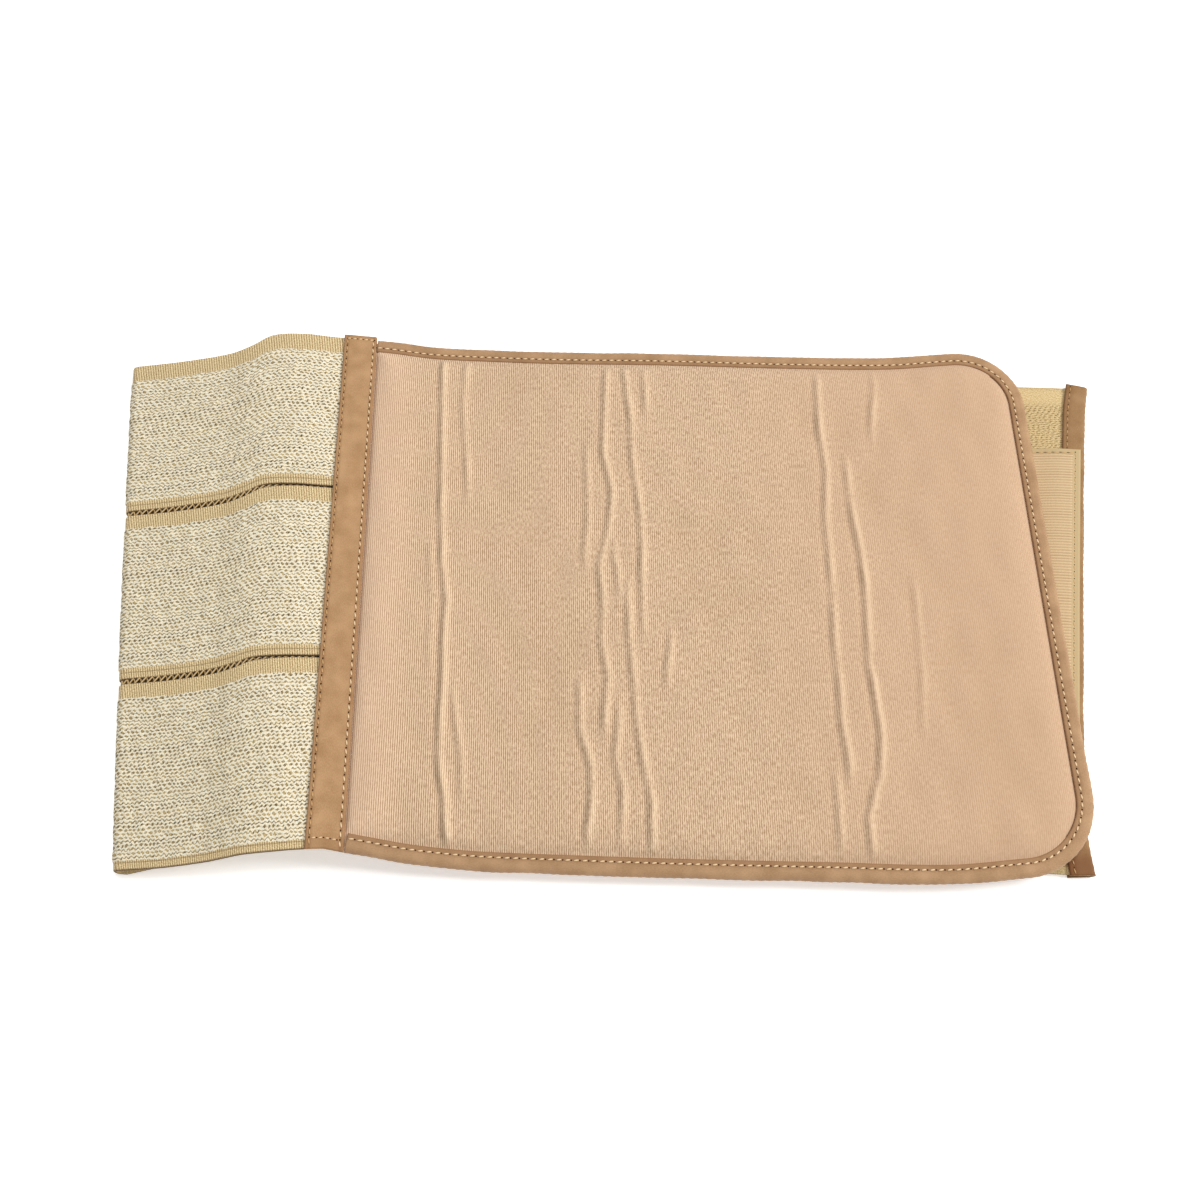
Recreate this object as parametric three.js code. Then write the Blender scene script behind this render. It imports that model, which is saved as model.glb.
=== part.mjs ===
// An elastic abdominal binder, folded in two and lying flat with its padded panel on top.
// Millimetres. +X runs along the binder to its free end, +Y across it, +Z up from the surface it lies on.
// Every piece is cloth, so every piece starts as a flat gridded slab whose points are then laid in place.

import * as THREE from "three";
import { mergeVertices } from "three/addons/utils/BufferGeometryUtils.js";

// Padded panel: length from the middle of the cross strip, width over its edge binding
const panelLength = 303;
const panelWidth = 244;
const foamThickness = 7;
const panelCornerRadius = 30;
const panelEdgeRound = 14; // how far in from a seam the foam reaches its full thickness
const panelCreaseDepth = 2.2;
const panelSkew = 1.4; // the rounded end's front corner lies this much further along than its back one

// Cloth that is pressed flat under a sewn tape, and the gap kept between touching pieces
const pressedThickness = 2;
const pressedFade = 6; // stretch over which pressed cloth regains its thickness
const clearance = 0.3;

// Tape folded round the panel's edge and round the free end of the bands
const bindingWidth = 7.2;
const endBindingWidth = 10.4;
const bindingWall = 0.9;

// Tape sewn across the join of the panel and the bands
const stripWidth = 15.6;
const stripThickness = 1.1;
const stripOverhang = 0.4; // past each outer edge of the layer below it
const joinHeight = 16.6; // the layer's middle surface under the strip
const stripSkew = 5; // the strip's front end lies this much further along than its back end

// Three elastic bands side by side, joined by lacing in the gaps between them
const bandThickness = 2.4;
const selvedgeThickness = 1.7;
const selvedgeStep = 1.2; // width of the step between a selvedge and the field
const frontSelvedge = 4.7;
const backSelvedge = 9;
const lacingGap = 1.9;
const topRun = 94.8; // from the fold to the strip
const floorRun = 411; // from the fold to the free end, beneath the panel
const foldRadius = 3.2; // of the middle surface
const foldSkew = 29; // the front end of the fold lies this much further along than the back end
const foldBow = 0.8; // the middle of the fold stands out this much past the line of its ends
const endSkew = 37; // the back end of the free end lies this much further along than the front end
const endLift = 30; // stretch over which the bands rise off the surface into their end binding

// Hook fastener sewn on the free end
const hookTabLength = 158;
const hookTabWidth = 60;
const hookTabThickness = 1.3;
const hookTabMargin = 2.6; // from the free end
const tabDrop = 12; // stretch over which the tab comes down from the end binding

// Plan of the top layer right of the strip. along: share of the panel length. front, back: the edges,
// share of the panel width from the axis. lift: 0 resting on the layers below, 1 at the strip's height.
const panelPlan = [
  { along: 0, front: -0.463, back: 0.513, lift: 1 },
  { along: 0.05, front: -0.473, back: 0.511, lift: 0.78 },
  { along: 0.11, front: -0.483, back: 0.509, lift: 0.36 },
  { along: 0.19, front: -0.491, back: 0.509, lift: 0.1 },
  { along: 0.3, front: -0.496, back: 0.506, lift: 0 },
  { along: 0.45, front: -0.502, back: 0.504, lift: -0.04 },
  { along: 0.65, front: -0.508, back: 0.495, lift: 0 },
  { along: 0.8, front: -0.512, back: 0.493, lift: 0.01 },
  { along: 0.9, front: -0.502, back: 0.502, lift: 0.05 },
  { along: 1, front: -0.491, back: 0.507, lift: 0 },
];

// Plan of the bands between the fold (0) and the strip (1). rise: share of the climb to the strip.
// lacing: share of the lacing gap left between two bands.
const topRunPlan = [
  { along: 0, front: -0.489, back: 0.477, rise: 0, lacing: 1 },
  { along: 0.2, front: -0.487, back: 0.482, rise: 0.24, lacing: 1 },
  { along: 0.42, front: -0.481, back: 0.491, rise: 0.6, lacing: 1 },
  { along: 0.52, front: -0.477, back: 0.503, rise: 0.86, lacing: 0.9 },
  { along: 0.61, front: -0.473, back: 0.521, rise: 1.05, lacing: 0.65 },
  { along: 0.75, front: -0.469, back: 0.522, rise: 1.14, lacing: 0.4 },
  { along: 0.88, front: -0.465, back: 0.516, rise: 1.09, lacing: 0.35 },
  { along: 1, front: -0.463, back: 0.513, rise: 1, lacing: 0.35 },
];

// Plan of the bands on the surface, between the fold (0) and the free end (1).
const floorRunPlan = [
  { along: 0, front: -0.489, back: 0.477 },
  { along: 0.08, front: -0.463, back: 0.484 },
  { along: 0.18, front: -0.446, back: 0.495 },
  { along: 0.35, front: -0.446, back: 0.5 },
  { along: 0.6, front: -0.457, back: 0.484 },
  { along: 0.8, front: -0.474, back: 0.463 },
  { along: 1, front: -0.493, back: 0.44 },
];

// The free end's corners stand out past its straight line. across: share of the bands' width from the
// front. out: share of the end skew.
const freeEndFlare = [
  { across: 0, out: 0.116 },
  { across: 0.05, out: 0.06 },
  { across: 0.12, out: 0 },
  { across: 0.92, out: 0 },
  { across: 1, out: 0.035 },
];

// Ridges and creases of the panel, each a line from its front to its back edge.
// front, middle, back: shares of the panel length. height: share of the crease depth.
const panelFolds = [
  { front: 0.13, middle: 0.115, back: 0.1, height: 0.15 },
  { front: 0.152, middle: 0.132, back: 0.109, height: 0.3 },
  { front: 0.163, middle: 0.143, back: 0.12, height: -0.9 },
  { front: 0.176, middle: 0.156, back: 0.133, height: 0.45 },
  { front: 0.205, middle: 0.19, back: 0.17, height: 0.1 },
  { front: 0.27, middle: 0.26, back: 0.255, height: 0.3 },
  { front: 0.33, middle: 0.335, back: 0.335, height: 0.3 },
  { front: 0.35, middle: 0.362, back: 0.364, height: -0.7 },
  { front: 0.378, middle: 0.383, back: 0.38, height: 0.5 },
  { front: 0.408, middle: 0.405, back: 0.393, height: 0.4 },
  { front: 0.424, middle: 0.419, back: 0.405, height: -1 },
  { front: 0.44, middle: 0.436, back: 0.424, height: 0.4 },
  { front: 0.5, middle: 0.495, back: 0.49, height: 0.1 },
  { front: 0.59, middle: 0.59, back: 0.59, height: 0.3 },
  { front: 0.665, middle: 0.672, back: 0.672, height: 0.35 },
  { front: 0.681, middle: 0.69, back: 0.69, height: -1 },
  { front: 0.696, middle: 0.708, back: 0.706, height: 0.5 },
  { front: 0.711, middle: 0.74, back: 0.722, height: -0.8 },
  { front: 0.735, middle: 0.76, back: 0.745, height: 0.35 },
  { front: 0.79, middle: 0.8, back: 0.79, height: 0 },
];

// Where a folded tape's outer face, tip and pressed contents lie from the edge that it wraps
const wrapRadius = pressedThickness / 2 + clearance;
const bindingReach = wrapRadius + bindingWall;
const bindingGrip = bindingWidth - bindingReach;
const endBindingGrip = endBindingWidth - bindingReach;
const stripHalf = stripWidth / 2;

// Heights of the stack under the panel: end binding, hook tab and the panel's own binding
const endTop = 2 * bindingReach;
const tabTop = endTop + clearance + hookTabThickness;
const restHeight = tabTop + clearance + bindingReach;
const foldHeight = bandThickness / 2 + 2 * foldRadius;

// A smooth value of one column of a table, at a place given in the units of its first column.
function read(table, column, key, place) {
  let row = 0;
  while (row < table.length - 2 && place > table[row + 1][key]) row += 1;
  const slope = (n) => {
    const low = table[Math.max(n - 1, 0)];
    const high = table[Math.min(n + 1, table.length - 1)];
    return (high[column] - low[column]) / (high[key] - low[key]);
  };
  const [start, end] = [table[row], table[row + 1]];
  const span = end[key] - start[key];
  const t = THREE.MathUtils.clamp((place - start[key]) / span, 0, 1);
  const bend = t * t * (3 - 2 * t);
  const tangents = slope(row) * t * (1 - t) ** 2 - slope(row + 1) * t * t * (1 - t);
  return start[column] + (end[column] - start[column]) * bend + tangents * span;
}

const mix = THREE.MathUtils.lerp;
const ease = (share) => THREE.MathUtils.smoothstep(share, 0, 1);

// A closed slab of lengthSteps by widthSteps cells, each point laid where place(i, j, side) puts it.
// side is 1 on the slab's upper face and -1 on its lower face.
function clothSolid(lengthSteps, widthSteps, place) {
  const slab = new THREE.BoxGeometry(1, 1, 1, lengthSteps, widthSteps, 1);
  slab.deleteAttribute("normal");
  slab.deleteAttribute("uv");
  const cloth = mergeVertices(slab);
  const spots = cloth.getAttribute("position");
  for (let n = 0; n < spots.count; n += 1) {
    const i = Math.round((spots.getX(n) + 0.5) * lengthSteps);
    const j = Math.round((spots.getY(n) + 0.5) * widthSteps);
    const laid = place(i, j, Math.sign(spots.getZ(n)));
    spots.setXYZ(n, laid.x, laid.y, laid.z);
  }
  cloth.computeVertexNormals();
  return cloth;
}

const binder = new THREE.Group();

function addPiece(name, geometry, color, roughness) {
  const material = new THREE.MeshStandardMaterial({ color, roughness, metalness: 0 });
  const piece = new THREE.Mesh(geometry, material);
  piece.name = name;
  binder.add(piece);
}

// Edges of a layer at a share along its plan
function edges(plan, along) {
  const front = panelWidth * read(plan, "front", "along", along);
  const back = panelWidth * read(plan, "back", "along", along);
  return { front, back };
}

const panelHeight = (fromJoin) =>
  mix(restHeight, joinHeight, read(panelPlan, "lift", "along", fromJoin / panelLength));

const joinX = (across) => stripSkew * (0.5 - across);
const panelX = (across, fromJoin) =>
  fromJoin + mix(stripSkew, panelSkew, fromJoin / panelLength) * (0.5 - across);
const foldX = (across) =>
  -topRun + foldSkew * (0.5 - across) - 4 * foldBow * across * (1 - across);
const freeEndX = (across) =>
  floorRun - topRun + endSkew * (across - 0.5 + read(freeEndFlare, "out", "across", across));

// Lower layer near the free end, by distance from it: height of the middle surface, and thickness
const floorHeight = (fromEnd) =>
  mix(bindingReach, bandThickness / 2, ease((fromEnd - endBindingWidth) / endLift));
const fading = (full, pastTape) =>
  mix(Math.min(full, pressedThickness), full, ease((pastTape - clearance) / pressedFade));

// A point of a band's middle surface, and how far it is past the nearest sewn tape.
// way: 0 at the free end, 1 at the start of the fold, 2 at its end, 3 at the strip.
// band: 0 front, 1 middle, 2 back. width: share of that band's width from its front edge.
function bandSpot(way, band, width) {
  const onTop = way > 2;
  const plan = onTop ? topRunPlan : floorRunPlan;
  const along = onTop ? way - 2 : Math.max(1 - way, 0);
  const { front, back } = edges(plan, along);
  const gap = lacingGap * (onTop ? read(topRunPlan, "lacing", "along", along) : 1);
  const bandWidth = (back - front - 2 * gap) / 3;
  const y = front + band * (bandWidth + gap) + width * bandWidth;
  const across = (y - front) / (back - front);
  const turnX = foldX(across) + foldRadius;
  if (onTop) {
    const x = mix(turnX, joinX(across) - clearance / 2, along);
    const rise = read(topRunPlan, "rise", "along", along);
    const point = new THREE.Vector3(x, y, mix(foldHeight, joinHeight, rise));
    return { point, pastTape: joinX(across) - stripHalf - x };
  }
  if (way >= 1) {
    const turn = Math.PI * (way - 1);
    const z = bandThickness / 2 + foldRadius * (1 - Math.cos(turn));
    return { point: new THREE.Vector3(turnX - foldRadius * Math.sin(turn), y, z), pastTape: Infinity };
  }
  const x = mix(turnX, freeEndX(across) - bindingReach, along);
  const fromEnd = freeEndX(across) - x;
  return { point: new THREE.Vector3(x, y, floorHeight(fromEnd)), pastTape: fromEnd - endBindingWidth };
}

// Steps along a band: closer where it is gripped by a tape, lifts off the surface, turns and humps
const gripped = endBindingGrip + clearance;
const wayStops = [0, gripped, gripped + pressedFade, gripped + endLift / 2, gripped + endLift]
  .map((fromEnd) => fromEnd / floorRun);
wayStops.push(0.2, 0.3, 0.42, 0.54, 0.66, 0.76, 0.84, 0.9, 0.95, 1);
const turnSteps = 8;
for (let n = 1; n <= turnSteps; n += 1) wayStops.push(1 + n / turnSteps);
for (const along of [0.08, 0.17, 0.26, 0.35, 0.44, 0.52, 0.6, 0.68, 0.76, 0.83, 0.89, 0.94, 1]) {
  wayStops.push(2 + along);
}

// Steps across a band, as shares of its width: its two selvedges and, between them, the thicker field
const nominalBandWidth = (panelWidth - 2 * lacingGap) / 3;
const fieldStart = (frontSelvedge + selvedgeStep) / nominalBandWidth;
const fieldEnd = 1 - (backSelvedge + selvedgeStep) / nominalBandWidth;
const bandStops = [
  0,
  frontSelvedge / nominalBandWidth,
  fieldStart,
  mix(fieldStart, fieldEnd, 0.33),
  mix(fieldStart, fieldEnd, 0.67),
  fieldEnd,
  1 - backSelvedge / nominalBandWidth,
  1,
];
const inField = (width) => width >= fieldStart && width <= fieldEnd;

// Knitted elastic bands, each laid along the surface, turned over at the fold and carried up to the strip
["elastic_band_front", "elastic_band_middle", "elastic_band_back"].forEach((name, band) => {
  const nudge = 1e-3;
  const elastic = clothSolid(wayStops.length - 1, bandStops.length - 1, (i, j, side) => {
    const [way, width] = [wayStops[i], bandStops[j]];
    const { point, pastTape } = bandSpot(way, band, width);
    const lengthwise = bandSpot(Math.min(way + nudge, 3), band, width).point
      .sub(bandSpot(Math.max(way - nudge, 0), band, width).point);
    const widthwise = bandSpot(way, band, 1).point.sub(bandSpot(way, band, 0).point);
    const outward = lengthwise.cross(widthwise).normalize();
    const thickness = fading(inField(width) ? bandThickness : selvedgeThickness, pastTape);
    return point.addScaledVector(outward, (side * thickness) / 2);
  });
  addPiece(name, elastic, 0xd6caad, 0.95);
});

// A tape folded round an edge. Each station gives the wrapped edge's middle point and its outward
// direction. The tape runs from its lower tip round the edge to its upper tip, and grips that much cloth.
function foldedTape(stations, grip) {
  const flatSteps = 2;
  const roundSteps = 4;
  return clothSolid(stations.length - 1, 2 * flatSteps + roundSteps, (i, j, side) => {
    const { point, outward } = stations[i];
    const radius = side > 0 ? bindingReach : wrapRadius;
    const turn = THREE.MathUtils.clamp((j - flatSteps) / roundSteps, 0, 1);
    const angle = Math.PI * (turn - 0.5);
    const inward = (grip / flatSteps) * Math.max(flatSteps - j, j - flatSteps - roundSteps, 0);
    return point.clone()
      .addScaledVector(outward, radius * Math.cos(angle) - inward)
      .add(new THREE.Vector3(0, 0, radius * Math.sin(angle)));
  });
}

// Stations from a line of edge points, with the outside on the right of its direction of travel
function stationsAlong(points) {
  return points.map((point, n) => {
    const before = points[Math.max(n - 1, 0)];
    const after = points[Math.min(n + 1, points.length - 1)];
    const outward = new THREE.Vector3(after.y - before.y, before.x - after.x, 0).normalize();
    return { point, outward };
  });
}

// Binding of the free end: it wraps the ends of all three bands
const endLine = [0, 1, 2].flatMap((band) => bandStops.map((width) => bandSpot(0, band, width).point));
addPiece("end_binding", foldedTape(stationsAlong(endLine), endBindingGrip), 0xa38360, 0.85);

// Hook tab on the free end: its right margin lies over the end binding, the rest on the bands
const tabStops = [hookTabMargin, endBindingWidth + clearance];
for (let n = 1; n <= 3; n += 1) tabStops.push(tabStops[1] + (n * tabDrop) / 3);
const tabTail = tabStops.at(-1);
tabStops.push(mix(tabTail, hookTabWidth, 0.5), hookTabMargin + hookTabWidth);
const tabRows = 8;
const floorEnd = edges(floorRunPlan, 1);
const tabShare = hookTabLength / (floorEnd.back - floorEnd.front);
const hookTab = clothSolid(tabStops.length - 1, tabRows, (i, j, side) => {
  const fromEnd = tabStops[tabStops.length - 1 - i];
  const across = 0.5 + tabShare * (j / tabRows - 0.5);
  const x = freeEndX(across) - fromEnd;
  const plan = edges(floorRunPlan, (x - foldX(across)) / (freeEndX(across) - foldX(across)));
  const bandTop = floorHeight(fromEnd) + fading(bandThickness, fromEnd - endBindingWidth) / 2;
  const carried = mix(endTop, bandTop, ease((fromEnd - tabStops[1]) / tabDrop));
  const z = carried + clearance + (hookTabThickness * (1 + side)) / 2;
  return new THREE.Vector3(x, mix(plan.front, plan.back, across), z);
});
addPiece("hook_tab", hookTab, 0xd2b38b, 0.8);

// Foam panel. Its grid's outer rows and columns keep to its rim, and its columns follow the creases.
const foamCorner = panelCornerRadius - bindingReach;
const rimGrip = bindingGrip + clearance;
const roundStops = [0, 0.1, 0.32, 0.68].map((share) => share * panelEdgeRound);
const rimStops = [0, ...roundStops.map((inward) => rimGrip + inward)];
rimStops.push(mix(rimStops.at(-1), foamCorner, 0.5), foamCorner);
rimStops.sort((a, b) => a - b);
const rimDepth = rimStops.at(-1);
const midRows = [0.2, 0.4, 0.6, 0.8];

// Rows across the panel: an offset from the front or back rim, or a share of the space between
const panelRows = [
  ...rimStops.map((offset) => ({ rim: "front", offset })),
  ...midRows.map((share) => ({ rim: "none", share })),
  ...rimStops.toReversed().map((offset) => ({ rim: "back", offset })),
];
for (const row of panelRows) {
  const inset = (bindingReach + (row.offset ?? rimDepth)) / panelWidth;
  row.across = row.rim === "front" ? inset
    : row.rim === "back" ? 1 - inset : mix(inset, 1 - inset, row.share);
}

// Columns along the panel: an offset from the strip, a fold line, or an offset from the rounded end
const panelColumns = [
  { rim: "strip", offset: 0 },
  ...roundStops.map((inward) => ({ rim: "strip", offset: stripHalf + clearance + inward })),
  ...panelFolds.map((fold) => ({ rim: "none", fold })),
  ...rimStops.toReversed().map((offset) => ({ rim: "end", offset })),
];
const foamLength = panelLength - bindingReach;

// Where a fold line lies at a share of the way across: a curve through its three points
const foldPlace = ({ front, middle, back }, across) => panelLength * (
  front * (1 - across) * (1 - 2 * across) + 4 * middle * across * (1 - across)
  + back * across * (2 * across - 1));

// Offsets from the panel's end and side, bent round its rounded corner so that rims stay parallel
function roundCorner(fromEnd, fromSide) {
  const [a, b] = [foamCorner - fromEnd, foamCorner - fromSide];
  if (a <= 0 || b <= 0) return [fromEnd, fromSide];
  const radius = Math.max(a, b);
  const turn = (Math.PI / 4) * (a > b ? b / a : 2 - a / b);
  return [foamCorner - radius * Math.cos(turn), foamCorner - radius * Math.sin(turn)];
}

// A point of the panel's middle surface, and how far it is in from the nearest sewn tape
function panelSpot(column, row) {
  let fromJoin = column.fold ? foldPlace(column.fold, row.across) : column.offset;
  let fromSide = row.offset ?? rimDepth;
  let fromRim = row.offset ?? Infinity;
  if (column.rim === "end") {
    fromRim = Math.min(fromRim, column.offset);
    const [fromEnd, bentSide] = roundCorner(column.offset, fromSide);
    fromJoin = foamLength - fromEnd;
    fromSide = bentSide;
  }
  const { front, back } = edges(panelPlan, fromJoin / panelLength);
  const inset = bindingReach + fromSide;
  const y = row.rim === "front" ? front + inset
    : row.rim === "back" ? back - inset : mix(front + inset, back - inset, row.share);
  const x = panelX((y - front) / (back - front), fromJoin) + clearance / 2;
  const point = new THREE.Vector3(x, y, panelHeight(fromJoin));
  return { point, fromTape: Math.min(fromRim - rimGrip, fromJoin - stripHalf - clearance) };
}

const foamPanel = clothSolid(panelColumns.length - 1, panelRows.length - 1, (i, j, side) => {
  const { point, fromTape } = panelSpot(panelColumns[i], panelRows[j]);
  const inward = THREE.MathUtils.clamp(fromTape / panelEdgeRound, 0, 1);
  const puff = Math.sqrt(1 - (1 - inward) ** 2);
  const crease = panelCreaseDepth * (panelColumns[i].fold?.height ?? 0);
  const above = foamThickness - bindingReach - pressedThickness / 2 + crease;
  const below = bindingReach - pressedThickness / 2;
  point.z += side * (pressedThickness / 2 + puff * (side > 0 ? above : below));
  return point;
});
addPiece("foam_panel", foamPanel, 0xd5b694, 0.95);

// Binding of the panel: along the front rim from the strip, round the end, and back along the rear rim
const lastColumn = panelColumns.length - 1;
const rimLine = [];
for (let i = 1; i < lastColumn; i += 1) rimLine.push(panelSpot(panelColumns[i], panelRows[0]).point);
for (const row of panelRows) rimLine.push(panelSpot(panelColumns[lastColumn], row).point);
for (let i = lastColumn - 1; i > 0; i -= 1) rimLine.push(panelSpot(panelColumns[i], panelRows.at(-1)).point);
addPiece("panel_edge_binding", foldedTape(stationsAlong(rimLine), bindingGrip), 0xae8e6a, 0.85);

// Strip across the join: its left half lies on the bands' ends, its right half on the panel's edge
const stripColumns = 6;
const stripRows = 12;
const strip = clothSolid(stripColumns, stripRows, (i, j, side) => {
  const across = j / stripRows;
  const offset = stripWidth * (i / stripColumns - 0.5);
  const run = joinX(across) - foldX(across) - foldRadius;
  const along = 1 + offset / run;
  const plan = offset < 0 ? edges(topRunPlan, along) : edges(panelPlan, offset / panelLength);
  const layer = offset < 0
    ? mix(foldHeight, joinHeight, read(topRunPlan, "rise", "along", along))
    : panelHeight(offset);
  const z = layer + pressedThickness / 2 + clearance + (stripThickness * (1 + side)) / 2;
  const y = mix(plan.front - stripOverhang, plan.back + stripOverhang, across);
  return new THREE.Vector3(joinX(across) + offset, y, z);
});
addPiece("cross_strip", strip, 0xbd956c, 0.8);

// The origin is the middle of the folded binder on the surface that it lies on
const outline = new THREE.Box3().setFromObject(binder);
const middle = outline.getCenter(new THREE.Vector3());
binder.position.set(-middle.x, -middle.y, -outline.min.z);

export default binder;
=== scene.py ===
"""An elastic abdominal binder, folded in two and lying flat with its padded panel on top.

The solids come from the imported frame. Every piece is cloth, so each is laid here as a fine slab in the
place of its solid, with its knit, creases, sewn rows and lacing. Working lengths are millimetres.
"""

import math

import bmesh
import bpy
import numpy as np
from mathutils import Matrix, Vector


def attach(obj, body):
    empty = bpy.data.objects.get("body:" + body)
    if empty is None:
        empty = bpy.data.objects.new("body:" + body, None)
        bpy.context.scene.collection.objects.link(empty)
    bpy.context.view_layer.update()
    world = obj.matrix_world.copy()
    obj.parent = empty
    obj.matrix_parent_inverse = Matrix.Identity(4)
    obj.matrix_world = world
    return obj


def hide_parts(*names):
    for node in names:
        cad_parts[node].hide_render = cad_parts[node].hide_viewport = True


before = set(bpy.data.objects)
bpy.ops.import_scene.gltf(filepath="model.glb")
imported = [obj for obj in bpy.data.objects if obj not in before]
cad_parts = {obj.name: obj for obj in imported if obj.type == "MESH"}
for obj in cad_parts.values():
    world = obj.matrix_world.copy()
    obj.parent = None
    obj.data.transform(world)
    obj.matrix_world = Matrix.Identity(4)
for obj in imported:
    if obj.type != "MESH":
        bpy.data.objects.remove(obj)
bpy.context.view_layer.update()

# ----------------------------------------
# Studio: a white paper sweep under a broad overhead softbox, seen by a camera that looks down on the
# binder from its front at 65 degrees. None of it belongs to the object.
# ----------------------------------------
MM = 0.001
AIM = Vector((-4.6, -1.4, 0)) * MM
CAMERA_DISTANCE = 0.5456
CAMERA_ELEVATION = math.radians(65)
FOCAL_LENGTH = 37.8
PAPER_REACH = 4  # of the floor from its middle
PAPER_GLOW = 0.42  # lifts it to the photograph's even white, with no more light on the binder
ROOM_LIGHT = 0.37


def linear(hex_colour):
    """The linear colour of an sRGB hex value."""
    shares = [int(hex_colour[n:n + 2], 16) / 255 for n in (1, 3, 5)]
    return (*[s / 12.92 if s <= 0.04045 else ((s + 0.055) / 1.055) ** 2.4 for s in shares], 1.0)


def add(tree, kind, inputs=None, out=0, **settings):
    """Adds a shader node with its settings and its inputs, values or sockets, and returns one output."""
    made = tree.nodes.new("ShaderNode" + kind)
    for name, value in settings.items():
        setattr(made, name, value)
    for socket, source in (inputs or {}).items():
        if isinstance(source, bpy.types.NodeSocket):
            tree.links.new(source, made.inputs[socket])
        else:
            made.inputs[socket].default_value = source
    return made.outputs[out] if len(made.outputs) else None


def new_material(name):
    """A material that has no nodes yet, and its node tree."""
    made = bpy.data.materials.new(name)
    made.use_nodes = True
    made.node_tree.nodes.clear()
    return made, made.node_tree


floor_bm = bmesh.new()
bmesh.ops.create_grid(floor_bm, x_segments=1, y_segments=1, size=PAPER_REACH)
floor_mesh = bpy.data.meshes.new("paper_floor")
floor_bm.to_mesh(floor_mesh)
floor_bm.free()
floor = bpy.data.objects.new("paper_floor", floor_mesh)
bpy.context.scene.collection.objects.link(floor)

paper, tree = new_material("Matte white paper")  # takes the light evenly, with no shine
shader = add(tree, "BsdfPrincipled", {
    "Base Color": linear("#FFFFFF"), "Roughness": 1.0, "Specular IOR Level": 0.0,
    "Emission Color": linear("#FFFFFF"), "Emission Strength": PAPER_GLOW})
add(tree, "OutputMaterial", {"Surface": shader})
floor_mesh.materials.append(paper)

world = bpy.data.worlds.new("soft_room")
world.use_nodes = True
world.node_tree.nodes["Background"].inputs["Color"].default_value = linear("#FFFFFF")
world.node_tree.nodes["Background"].inputs["Strength"].default_value = ROOM_LIGHT
bpy.context.scene.world = world

for name, place, size, power in (
    ("softbox_overhead", (0.05, 0.25, 1.6), 0.45, 7.0),
    ("softbox_right", (1.4, 0.15, 1.4), 0.7, 26.0),
):
    lamp = bpy.data.lights.new(name, "AREA")
    lamp.shape = "SQUARE"
    lamp.size = size
    lamp.energy = power
    holder = bpy.data.objects.new(name, lamp)
    holder.location = place
    holder.rotation_euler = (AIM - Vector(place)).to_track_quat("-Z", "Y").to_euler()
    bpy.context.scene.collection.objects.link(holder)

camera = bpy.data.objects.new("camera", bpy.data.cameras.new("camera"))
camera.data.sensor_width = 36
camera.data.lens = FOCAL_LENGTH
camera.data.clip_start = 0.02
from_aim = Vector((0, -math.cos(CAMERA_ELEVATION), math.sin(CAMERA_ELEVATION)))
camera.location = AIM + from_aim * CAMERA_DISTANCE
camera.rotation_euler = (-from_aim).to_track_quat("-Z", "Y").to_euler()
bpy.context.scene.collection.objects.link(camera)
bpy.context.scene.camera = camera
bpy.context.scene.view_settings.view_transform = "Standard"

# ----------------------------------------
# Elastic bands: three 3 inch bands of coarse cream knit over rubber yarns, with flat tan selvedges.
# They run from the bound free end along the floor, turn over at the fold and end under the strip.
# ----------------------------------------
SHIFT = np.array((-112.892, -1.356, 0.0))  # from the middle of the strip to the frame's origin
PANEL_WIDTH = 244.0
CLEARANCE = 0.3  # between pieces that touch
PRESSED, PRESSED_FADE = 2.0, 6.0  # cloth under a sewn tape, and the stretch past it that is still thin
BAND_THICKNESS, SELVEDGE_THICKNESS, SELVEDGE_STEP = 2.4, 1.7, 1.2
BAND_EDGE, BAND_EDGE_SHARE = 0.8, 0.35  # of a band's long edges: rounding, and thickness left
LACING_GAP = 1.9
BAND_WIDTH = (PANEL_WIDTH - 2 * LACING_GAP) / 3
FRONT_SELVEDGES = (3.2, 4.4, 4.4)  # of the front, middle and back band
BACK_SELVEDGES = (6.6, 6.9, 8.6)
TOP_RUN, FLOOR_RUN = 94.8, 411.0  # from the fold to the strip, and to the free end
FOLD_RADIUS, FOLD_SKEW, FOLD_BOW = 3.2, 29.0, 0.8
FOLD_HEIGHT = BAND_THICKNESS / 2 + 2 * FOLD_RADIUS
STRIP_HALF, STRIP_SKEW, JOIN_HEIGHT = 7.8, 5.0, 16.6  # of the strip over the bands' upper ends
END_BINDING_WIDTH, END_SKEW, END_LIFT = 10.4, 37.0, 30.0
WRAP_RADIUS = PRESSED / 2 + CLEARANCE  # inside a tape that is folded round an edge
REACH = WRAP_RADIUS + 0.9  # its outer radius
FLOOR_GAP = 0.02  # no cloth goes lower than this above the paper

# Plans of the layers, each row at a share of the way along. front and back: shares of PANEL_WIDTH.
TOP_PLAN = np.array([  # from the fold to the strip: along, front, back, rise, lacing
    (0, -.489, .477, 0, 1), (.2, -.487, .482, .24, 1), (.42, -.481, .491, .6, 1),
    (.52, -.477, .503, .86, .9), (.61, -.473, .521, 1.05, .65), (.75, -.469, .522, 1.14, .4),
    (.88, -.465, .516, 1.09, .35), (1, -.463, .513, 1, .35)])
FLOOR_PLAN = np.array([  # from the fold to the free end: along, front, back
    (0, -.489, .477), (.08, -.463, .484), (.18, -.446, .495), (.35, -.446, .5), (.6, -.457, .484),
    (.8, -.474, .463), (1, -.493, .44)])
FLARE = np.array([(0, .116), (.05, .06), (.12, 0), (.92, 0), (1, .035)])  # across, out


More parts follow.
